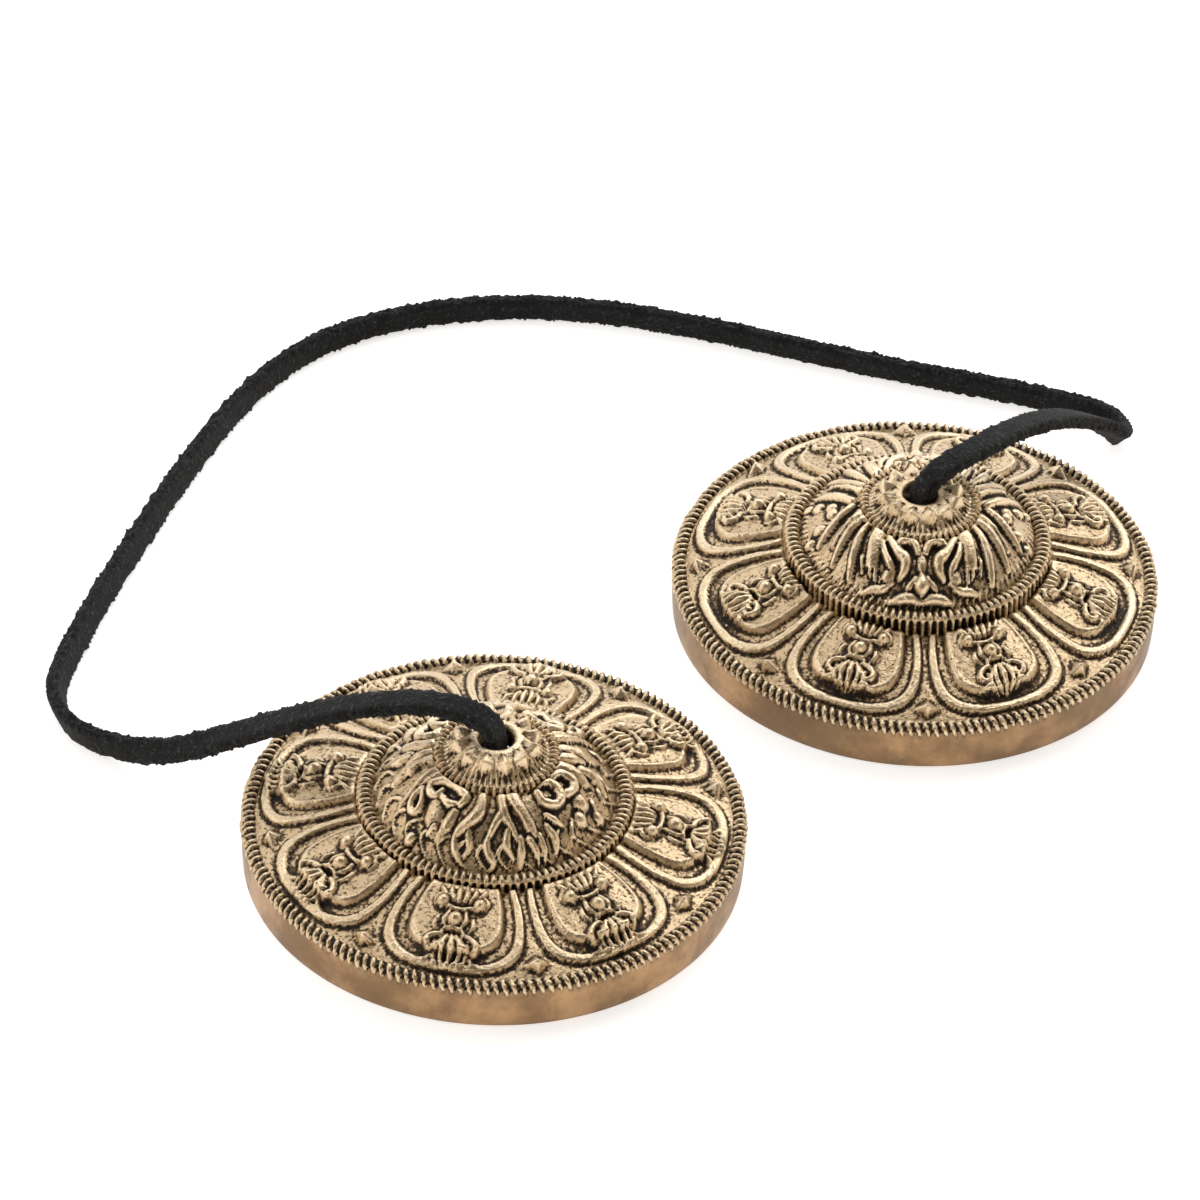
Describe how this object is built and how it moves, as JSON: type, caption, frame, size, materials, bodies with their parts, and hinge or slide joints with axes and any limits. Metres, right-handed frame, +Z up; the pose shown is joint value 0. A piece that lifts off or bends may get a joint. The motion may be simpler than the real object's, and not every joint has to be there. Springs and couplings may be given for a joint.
{
  "type": "tingsha cymbals",
  "caption": "Small cast bronze hand cymbals with lotus relief, joined through their centre holes by a knotted leather lace and struck rim to rim.",
  "frame": {"origin": "midway between the middles of the two cymbals, on the surface that they lie on", "axes": "+X from the left cymbal's middle to the right one's, +Y away from them towards the lace's loop, +Z up along the cymbals' axes"},
  "size_m": [0.1586, 0.1283, 0.0252],
  "materials": {
    "bronze": "antiqued cast relief with dark recesses, satin turned side wall",
    "lace": "matt suede with rough cut edges"
  },
  "bodies": {
    "lace": {"lace_loop": "lace"},
    "left_end": {"lace_end_left": "lace", "knot_left": "lace"},
    "left_cymbal": {"cymbal_left": "bronze"},
    "right_end": {"lace_end_right": "lace", "knot_right": "lace"},
    "right_cymbal": {"cymbal_right": "bronze"}
  },
  "joints": [
    {"name": "left_lift", "type": "hinge", "parent": "lace", "child": "left_end", "pos_m": [-0.0627, 0.04602, 0.00425], "axis": [-0.9368, -0.35, 0], "range_deg": [0, 45]},
    {"name": "left_spin", "type": "hinge", "parent": "left_end", "child": "left_cymbal", "pos_m": [-0.038, 0, 0.0185], "axis": [0, 0, 1], "continuous": true},
    {"name": "right_lift", "type": "hinge", "parent": "lace", "child": "right_end", "pos_m": [0.08276, 0.00564, 0.00639], "axis": [-0.1191, 0.9929, 0], "range_deg": [0, 45]},
    {"name": "right_spin", "type": "hinge", "parent": "right_end", "child": "right_cymbal", "pos_m": [0.038, 0, 0.0185], "axis": [0, 0, 1], "continuous": true}
  ]
}
